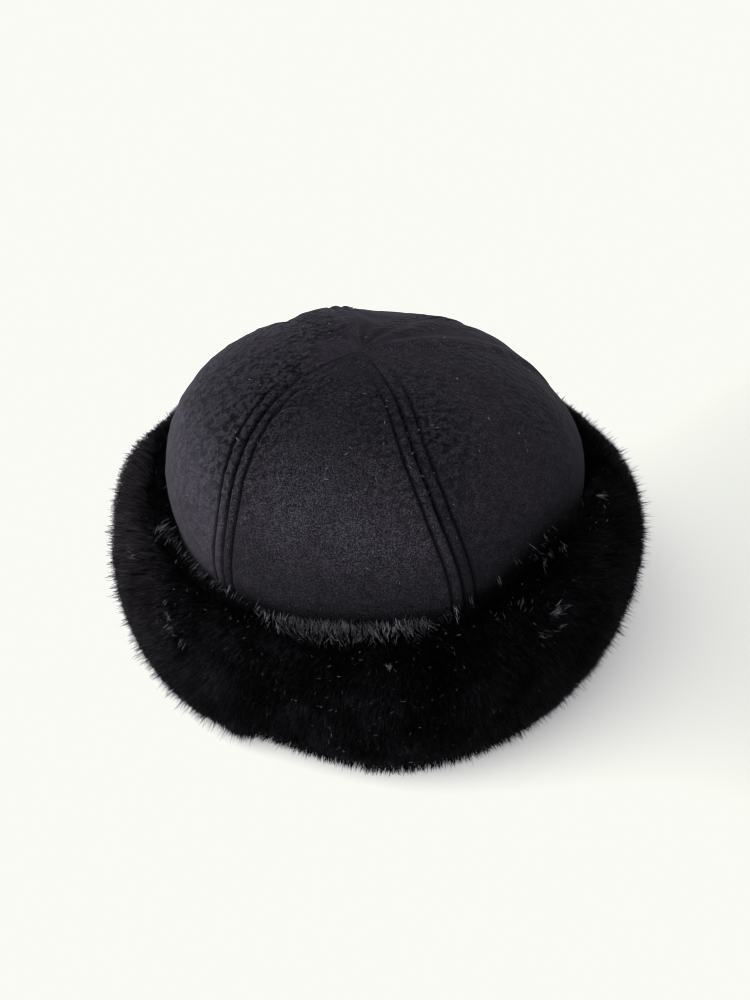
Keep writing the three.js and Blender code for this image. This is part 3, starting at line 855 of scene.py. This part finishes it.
def pelt(material):
    """The body of the cuff under its hairs: outside, foot, inner wall and throat."""
    form = cuff_forms(CUFF_AZIMUTHS[:-1])
    outside = CUFF_GRID[:-1, ::PELT_EVERY] - CUFF_NORMALS[:-1, ::PELT_EVERY] * PELT_DEPTH
    outside[..., 2] = np.maximum(outside[..., 2], PELT_FLOOR)
    seat_height = np.minimum(CUFF_SEAT_HEIGHT, form.top_height - CUFF_SEAT_DROP)
    ways = outward(CUFF_AZIMUTHS[:-1])

    def line(radius, height):
        points = ways * np.broadcast_to(radius, len(ways))[:, None]
        points[:, 2] = height
        return points[:, None]

    section = np.concatenate([
        outside,
        line(np.hypot(outside[:, -1, 0], outside[:, -1, 1]) - PELT_FOOT_WIDTH, PELT_FLOOR),
        line(wall_radius(HEM_HEIGHT) + SEAT_GAP, HEM_HEIGHT),
        line(wall_radius(seat_height) + SEAT_GAP, seat_height),
        line(form.top_radius - CUFF_THROAT, form.top_height - CUFF_THROAT_DROP),
    ], axis=1)
    rows, columns = section.shape[:2]
    index = np.arange(rows * columns).reshape(rows, columns)
    after = np.roll(index, -1, axis=0)
    over, over_after = np.roll(index, -1, axis=1), np.roll(after, -1, axis=1)
    faces = np.stack([index, over, over_after, after], axis=-1).reshape(-1, 4)
    return mesh_piece("fur_pelt", section.reshape(-1, 3), faces, material)


# Share of its width that a hair loses up to its tip, how light its root is, which is painted shade deep
# in the fur, and its strip in the map of the piece, which goes round the hat and up it.
HAIR_TAPER = 0.45
ROOT_SHADE = 0.35
MAP_WIDTH = 0.0004
MAP_LENGTH = 0.008
MAP_HEIGHT = 120
MAP_TOP = 0.97


def strands(name, roots, ways, lean, lengths, widths, facing, roll, tones, material, hair):
    """Tapered hairs as one mesh. Each hair starts along its way and is drawn over by its lean."""
    segments = hair.segments
    count, each = len(roots), 2 * segments + 1
    side = unit(np.cross(ways, facing))
    flat = unit(np.cross(side, ways))
    side = side * np.cos(roll)[:, None] + flat * np.sin(roll)[:, None]
    columns, shades = [], []
    for station in range(segments + 1):
        t = station / segments
        middle = roots + (ways * t + lean * t * t) * lengths[:, None]
        middle[:, 2] = np.maximum(middle[:, 2], HAIR_FLOOR)
        half = side * (widths * (1 - HAIR_TAPER * t) / 2)[:, None]
        columns += [middle - half, middle + half] if station < segments else [middle]
        # Each hair darkens toward its root: painted shade deep in the pile.
        shades += [tones * (ROOT_SHADE + (1 - ROOT_SHADE) * t)] * 2
    points = np.stack(columns, axis=1).reshape(-1, 3)
    shade = np.stack(shades[:each], axis=1).ravel()
    pattern = [corner for a in range(0, each - 3, 2) for corner in (a, a + 1, a + 3, a + 2)]
    pattern += [each - 3, each - 2, each - 1]
    sizes = np.tile([4] * (segments - 1) + [3], count)
    corners = np.arange(count)[:, None] * each + pattern
    azimuth = np.degrees(np.arctan2(roots[:, 0], -roots[:, 1]))
    along = np.repeat(np.linspace(0, 1, segments + 1), 2)[:each]
    u = (azimuth / 360 + 0.5)[:, None] + np.arange(each) % 2 * MAP_WIDTH
    v = np.clip(roots[:, 2] / MAP_HEIGHT, 0, MAP_TOP)[:, None] + along * MAP_LENGTH
    uv = np.clip(np.stack([u.ravel(), v.ravel()], axis=-1), 0, 1)
    return mesh_piece(name, points, corners, material, sizes, uv, {"tone": shade})


def radius_at(azimuth, share):
    return np.hypot(*read_grid(CUFF_GRID, azimuth, share)[:, :2].T)


def hair_places(count, azimuths, shares, random):
    """Azimuths and shares of hairs, spread evenly over a part of the cuff's outside."""
    azimuth = random.uniform(*azimuths, 3 * count)
    share = random.uniform(*shares, 3 * count)
    radius = radius_at(azimuth, share)
    kept = random.uniform(0, WIDEST_RADIUS, 3 * count) < radius
    return azimuth[kept][:count], share[kept][:count]


# Nap of the fur: how far it is drawn down and turned, and how it is drawn up over the lip and the foot.
NAP_STEP = 0.02
NAP_DOWN = 0.1
NAP_TURNED = 0.2
LIP_DRAWN, LIP_SHARE = 0.35, 0.16
FOOT_DRAWN, FOOT_FROM = 0.25, 0.6


def nap(azimuth, share, random, stray):
    """Way of each hair: out of the pelt, drawn down on the outside and over the lip at the top."""
    normal = read_grid(CUFF_NORMALS, azimuth, share)
    point = read_grid(CUFF_GRID, azimuth, share)
    below = read_grid(CUFF_GRID, azimuth, np.minimum(share + NAP_STEP, 1))
    down = unit(below - read_grid(CUFF_GRID, azimuth, share - NAP_STEP))
    around = np.cross(down, normal)
    drawn = LIP_DRAWN * smooth(1 - share / LIP_SHARE)
    lean = NAP_DOWN + NAP_TURNED * waves(point, NAP_SWEEP) - drawn
    lean = lean - FOOT_DRAWN * smooth((share - FOOT_FROM) / (1 - FOOT_FROM))
    way = normal + down * lean[:, None] + around * (NAP_TURNED * waves(point, NAP_SWIRL))[:, None]
    return point, normal, down, unit(way + random.normal(0, stray, way.shape))


def pile_length(azimuth, share):
    """Length of the dense hair, with its bulge at the front left and shorter at the foot."""
    bulge = smooth(1 - np.abs(azimuth - BULGE_AT) / BULGE_REACH) * smooth((share - 0.35) / 0.4)
    shorter = 1 - FOOT_SHORTER * smooth((share - 0.5) / 0.4)
    return (table_value(FUR, azimuth, "length") + BULGE_LENGTH * bulge) * shorter


def pelt_roots(point, normal):
    """Places of the roots, down in the pelt and above the floor."""
    roots = point - normal * ROOT_DEPTH
    roots[:, 2] = np.maximum(roots[:, 2], ROOT_FLOOR)
    return roots


def fur_pile(name, middle, hairs, material, random):
    """The fur of a quarter of the cuff."""
    hair = PILE_HAIR
    azimuth, share = hair_places(hairs, (middle - 45, middle + 45), (0.02, 1), random)
    point, normal, down, way = nap(azimuth, share, random, hair.stray)
    count = len(azimuth)
    round_hat = np.mod(azimuth + 180, 360) - 180
    lengths = pile_length(round_hat, share) * random.uniform(0.84, 1.06, count)
    lengths *= 1 + 0.05 * waves(point, PILE_HEIGHT)
    lean = down * 0.05 + random.normal(0, hair.lean, (count, 3))
    widths = random.uniform(*hair.widths, count)
    roll = random.normal(0, hair.roll, count)
    clumps = 0.8 + 0.5 * waves(point, PILE_CLUMPS) + 0.35 * waves(point, PILE_SHADES)
    # The tone by side is painted light on the left and painted shade on the right, and the pile darkens
    # toward the top edge as painted shade in the recess by the crown.
    tones = random.uniform(0, 1.0, count) ** 3 * clumps * table_value(FUR, round_hat, "tone")
    tones = np.clip(tones * smooth(share / 0.26), 0, 1)
    roots = pelt_roots(point, normal)
    return strands(name, roots, way, lean, lengths, widths, normal, roll, tones, material, hair)


def fur_strays(material, random):
    """Long guard hairs that stand out of the pile in small groups."""
    hair = STRAY_HAIR
    azimuth, share = hair_places(STRAY_HAIRS, (-180, 180), (0.08, 0.97), random)
    point, normal, down, _ = nap(azimuth, share, random, hair.stray)
    count = len(azimuth)
    around = np.cross(down, normal)
    swirl = 0.3 * waves(point, STRAY_SWIRL)
    droop = 0.1 + 0.25 * waves(point, STRAY_DROOP)
    way = unit(normal + around * swirl[:, None] + down * droop[:, None]
               + random.normal(0, hair.stray, (count, 3)))
    groups = 0.8 + 0.4 * waves(point, STRAY_GROUPS)
    past = table_value(FUR, azimuth, "stray") * random.uniform(0.2, 1, count) * groups
    lengths = pile_length(azimuth, share) + past
    widths = random.uniform(*hair.widths, count)
    lean = down * 0.06 + random.normal(0, hair.lean, (count, 3))
    roll = random.normal(0, hair.roll, count)
    tones = np.clip(0.25 * random.uniform(0, 1, count) ** 2 * table_value(FUR, azimuth, "tone"), 0, 1)
    roots = pelt_roots(point, normal)
    return strands("fur_strays", roots, way, lean, lengths, widths, normal, roll, tones, material, hair)


def edge_way(azimuth, point, way, over, random):
    """Way of the hairs along the top edge, which stand up, lean over the lip and swirl in groups."""
    inward = -outward(azimuth)
    up = np.array([0.0, 0.0, 1.0])
    over = over + 0.1 * waves(point, EDGE_LEAN)
    swirl = np.cross(inward, up) * (0.4 * waves(point, EDGE_SWIRL))[:, None]
    return unit(way * 0.5 + up * 0.5 + inward * over[:, None] + swirl + random.normal(0, 0.08, way.shape))


def fur_edge(material, random):
    """The hairs of the cuff's top edge, which stand up and fill the gap to the crown."""
    hair = EDGE_HAIR
    count = EDGE_HAIRS
    azimuth = random.uniform(-180, 180, count)
    share = random.uniform(0.0, 0.11, count)
    point, normal, _, way = nap(azimuth, share, random, hair.stray)
    inner = 1 - smooth(share / 0.07)
    over = table_value(FUR, azimuth, "over")
    way = edge_way(azimuth, point, way, over * inner, random)
    facing = outward(azimuth)
    roots = pelt_roots(point, normal) - facing * (1.5 * inner)[:, None]
    lengths = random.uniform(4.4, 6.4, count) * (0.8 + 0.25 * over + 0.35 * inner * over)
    lean = random.normal(0, hair.lean, (count, 3))
    widths = random.uniform(*hair.widths, count)
    # Painted shade: the innermost hairs, in the gap to the crown, stay dark.
    tones = 0.3 * random.uniform(0, 1, count) ** 4 * (1 - inner)
    roll = random.normal(0, hair.roll, count)
    return strands("fur_edge", roots, way, lean, lengths, widths, facing, roll, tones, material, hair)


def fur_underside(material, random):
    """Hairs pressed flat where the cuff rests."""
    hair = UNDERSIDE_HAIR
    count = UNDERSIDE_HAIRS
    azimuth = random.uniform(-180, 180, count)
    foot = radius_at(azimuth, np.ones(count))
    radius = HEM_RADIUS + 1.5 + (foot - HEM_RADIUS) * np.sqrt(random.uniform(0, 1, count))
    out = outward(azimuth)
    roots = out * radius[:, None]
    roots[:, 2] = 1.9
    around = np.stack([-out[:, 1], out[:, 0], out[:, 2]], axis=-1)
    swirl = waves(roots, UNDERSIDE_SWIRL)
    way = unit(out + around * (0.5 * swirl)[:, None] + random.normal(0, hair.stray, out.shape))
    way[:, 2] = -0.16
    lean = random.normal(0, hair.lean, (count, 3))
    lengths = np.minimum(random.uniform(6, 9, count), foot - radius + random.uniform(2.6, 6.6, count))
    widths = random.uniform(*hair.widths, count)
    facing = np.array([0.0, 0.0, -1.0])
    tones = 0.3 * random.uniform(0.1, 1.0, count) ** 2
    roll = random.normal(0, hair.roll, count)
    return strands("fur_underside", roots, way, lean, lengths, widths, facing, roll, tones, material, hair)


def flat_way(normal, down, turn, lift):
    """Way of hairs that lie nearly flat, turned by radians from the nap and lifted a little."""
    turn = turn[:, None]
    return unit(normal * lift + down * np.cos(turn) + np.cross(down, normal) * np.sin(turn))


def scattered_glints(random):
    """Single pale hairs all over the cuff: painted glints."""
    azimuth = random.uniform(-180, 180, GLINTS)
    share = random.uniform(0.06, 0.9, GLINTS)
    point, normal, down, _ = nap(azimuth, share, random, GLINT_HAIR.stray)
    way = flat_way(normal, down, random.uniform(0, 2 * math.pi, GLINTS), 0.5)
    widths = random.uniform(*GLINT_HAIR.widths, GLINTS)
    tones = random.uniform(0.2, 1, GLINTS) ** 1.4
    return point, normal, way, random.uniform(0.8, 2.4, GLINTS), widths, tones


def tuft_glints(azimuth, share, count, spread, length, turn, bright, random):
    """A small tuft of pale hairs that lie nearly one way and fan out a little, pale as a painted glint."""
    azimuth = azimuth + random.normal(0, spread, count)
    share = np.clip(share + random.normal(0, spread * 0.014, count), 0.01, 0.98)
    point, normal, down, _ = nap(azimuth, share, random, GLINT_HAIR.stray)
    way = flat_way(normal, down, np.radians(turn + random.normal(0, 16, count)), 0.45)
    point = point + normal * np.maximum(table_value(FUR, azimuth, "length") - PILE_COVERED, 0)[:, None]
    lengths = length * random.uniform(0.5, 1, count)
    widths = random.uniform(*TUFT_WIDTHS, count)
    return point, normal, way, lengths, widths, bright * random.uniform(0.25, 1, count)


def edge_glints(random):
    """Pale hairs along the top edge, thickest at the front: a painted sheen band."""
    places = np.linspace(-180, 180, 3601)
    density = table_value(FUR, places, "pale")
    count = int(density.mean() * 360)
    steps = np.cumsum(density) / density.sum()
    azimuth = np.interp(random.uniform(0, 1, count), steps, places)
    front = smooth((27 - np.abs(azimuth + 5)) / 6)
    share = 0.01 + 0.02 * front + (0.02 + 0.1 * front) * random.beta(1.1, 1.9, count)
    share += 0.014 * front * np.sin(np.radians(azimuth - 20) * 9)
    point, normal, down, way = nap(azimuth, share, random, EDGE_HAIR.stray)
    side = np.cross(down, normal) * (0.25 + 0.6 * waves(point, GLINT_SWIRL))[:, None]
    brushed = unit(normal * 0.4 - down * 0.75 + side + random.normal(0, 0.2, normal.shape))
    way = unit(edge_way(azimuth, point, way, 0.8, random) * (1 - front)[:, None] + brushed * front[:, None])
    lengths = random.uniform(2.4, 5.8, count) * (1.4 - 0.4 * front)
    widths = random.uniform(*EDGE_GLINT_WIDTHS, count) * (1.4 - 0.4 * front)
    patches = 0.6 + 0.6 * waves(point, GLINT_PATCHES)
    tones = random.uniform(0.03, 1, count) ** (0.5 + 1.7 * front) * (1 - front + front * patches)
    return point, normal, way, lengths, widths, np.clip(tones, 0, 1)


def crown_lint(material, random):
    """A few pale fibres of fur that cling to the wool."""
    sheets = [gore_sheet(index)[:2] for index in range(len(GORES))]
    points, normals = (np.concatenate([grid[LINT_ROWS].reshape(-1, 3) for grid in grids])
                       for grids in zip(*sheets))
    distance = np.linalg.norm(points - np.array(LINT_MIDDLE), axis=-1)
    chances = np.hypot(points[:, 0], points[:, 1]) * (LINT_ELSEWHERE + np.exp(-(distance / LINT_REACH) ** 2))
    chosen = random.choice(len(points), LINT, p=chances / chances.sum())
    point, normal = points[chosen], normals[chosen]
    way = unit(np.cross(normal, random.normal(0, 1, normal.shape)) + normal * 0.1)
    lean = np.cross(normal, way) * random.uniform(-0.5, 0.5, LINT)[:, None] - normal * 0.05
    lengths = random.uniform(0.4, 1.0, LINT) ** 2 * 2.4
    widths = random.uniform(*LINT_WIDTHS, LINT)
    tones = random.uniform(0.3, 1, LINT)
    roll = np.full(LINT, 0.2)
    return strands("crown_lint", point + normal * 0.2, way, lean, lengths, widths, normal, roll, tones,
                   material, GLINT_HAIR)


def fur_glints(material, random):
    """Sparse pale hairs, painted glints and sheen: single, in small ruffled tufts and along the top edge."""
    groups = [scattered_glints(random), edge_glints(random), *(tuft_glints(*row, random) for row in TUFTS)]
    point, normal, way, lengths, widths, tones = (np.concatenate(column) for column in zip(*groups))
    roll = random.normal(0, GLINT_HAIR.roll, len(lengths))
    lean = -normal * 0.2 + random.normal(0, GLINT_HAIR.lean, normal.shape)
    return strands("fur_glints", point - normal * 0.6, way, lean, lengths, widths, normal, roll, tones,
                   material, GLINT_HAIR)


# Scene

CAMERA_ELEVATION = 43
CAMERA_DISTANCE = 0.62
CAMERA_TARGET = (0, 0, 0.06)
LENS = 45.55


def camera():
    data = bpy.data.cameras.new("camera")
    data.lens = LENS
    data.clip_start = 0.01
    piece = linked("camera", data)
    angle = math.radians(CAMERA_ELEVATION)
    piece.location = (CAMERA_TARGET[0], CAMERA_TARGET[1] - CAMERA_DISTANCE * math.cos(angle),
                      CAMERA_TARGET[2] + CAMERA_DISTANCE * math.sin(angle))
    piece.rotation_euler = (math.radians(90) - angle, 0, 0)
    bpy.context.scene.camera = piece


KEY_PLACE = (-0.85, 0.08, 1.2)
KEY_TARGET = (0, 0, 0.05)
KEY_SIZE = 1.3
KEY_POWER = 6
KEY_COLOUR = (1.0, 0.995, 0.98)


def key_light():
    """One broad soft lamp from the left that looks at the hat."""
    data = bpy.data.lights.new("key", "AREA")
    data.shape = "SQUARE"
    data.size = KEY_SIZE
    data.energy = KEY_POWER
    data.color = KEY_COLOUR
    piece = linked("key", data)
    piece.location = KEY_PLACE
    x, y, z = (b - a for a, b in zip(KEY_PLACE, KEY_TARGET))
    piece.rotation_euler = (math.pi / 2 + math.atan2(z, math.hypot(x, y)), 0, math.atan2(y, x) - math.pi / 2)


# Floor: its size in millimetres, and a round patch of painted shade to the right, placed and sized in metres.
FLOOR_SIZE = 80000
FLOOR_BRIGHT = (0.93, 0.935, 0.905)
FLOOR_SHADE = (0.44, 0.445, 0.43)
FLOOR_SHADE_MIDDLE = (0.41, 0, 0)
FLOOR_SHADE_WITHIN = 0.2
FLOOR_BRIGHT_BEYOND = 0.48


def floor():
    material, tree, shader = new_material("studio_floor", 0.7, 0.2)
    distance = node(tree, "VectorMath", {0: coordinates(tree), 1: FLOOR_SHADE_MIDDLE})
    distance.operation = "DISTANCE"
    # Painted shade: the floor darkens in a soft round patch to the right of the hat.
    share = spread(tree, distance.outputs["Value"], FLOOR_BRIGHT_BEYOND, FLOOR_SHADE_WITHIN)
    painted(tree, shader, share, FLOOR_BRIGHT, FLOOR_SHADE)
    half = FLOOR_SIZE / 2
    points = [(-half, -half, 0), (half, -half, 0), (half, half, 0), (-half, half, 0)]
    mesh_piece("studio_floor", points, [[0, 1, 2, 3]], material)


# Light from the left and the right, and the white of the background, which tones bend to from the knee.
WORLD_LEFT = (2.7, 2.7, 2.68)
WORLD_RIGHT = (1.15, 1.15, 1.16)
PAPER_WHITE = (0.955, 0.96, 0.91)
PAPER_KNEE = 0.7


def world():
    scene = bpy.context.scene
    settings = scene.view_settings
    settings.view_transform = "Standard"
    settings.use_curve_mapping = True
    mapping = settings.curve_mapping
    mapping.extend = "HORIZONTAL"
    for channel, white in zip(mapping.curves, PAPER_WHITE):
        channel.points[-1].location = (1, white)
        channel.points.new(PAPER_KNEE, PAPER_KNEE)
    mapping.update()
    background = bpy.data.worlds.new("studio")
    background.use_nodes = True
    tree = background.node_tree
    way = node(tree, "SeparateXYZ", {"Vector": coordinates(tree, "Generated")})
    light = mixed(tree, spread(tree, way.outputs["X"], -1, 1), WORLD_LEFT, WORLD_RIGHT)
    tree.links.new(light, tree.nodes["Background"].inputs["Color"])
    scene.world = background


def main():
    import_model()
    camera()
    world()
    key_light()
    floor()
    random = np.random.default_rng(SEED)

    for index, gore in enumerate(GORES):
        material = crown_wool("crown_wool_" + gore.node.removeprefix("crown_gore_"), gore)
        outer, normal, fields = gore_sheet(index)
        piece = closed_sheet(gore.node + "_cloth", outer, outer - normal * CLOTH, material, fields)
        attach(piece, "root")
        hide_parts(gore.node)

    thread = fibrous("topstitch_thread", 0.8, 0.03, (1, 1, 3), 1400, 1, THREAD_COLOURS, 0.4, 0.0002)
    guard = hair_material("fur_guard_hair", GUARD_COLOURS, 0.5, 0.045)
    # Pale hair: painted glints and sheen on the fur, and the colour of the lint on the crown.
    pale = hair_material("fur_glint_and_lint_hair", GLINT_AND_LINT_COLOURS, 0.45, 0.3)
    underfur = fibrous("fur_underfur", 1.0, 0.0, (1, 1, 1), 900, 3, UNDERFUR_COLOURS, 0.8, 0.0006)
    for piece in (topstitching(thread), crown_lint(pale, random)):
        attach(piece, "root")

    pieces = [pelt(underfur)]
    pieces += [fur_pile(*row, guard, random) for row in PILES]
    pieces += [fur_edge(guard, random), fur_underside(guard, random), fur_glints(pale, random)]
    pieces.append(fur_strays(guard, random))
    for piece in pieces:
        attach(piece, "root")
        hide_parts("fur_cuff")


main()
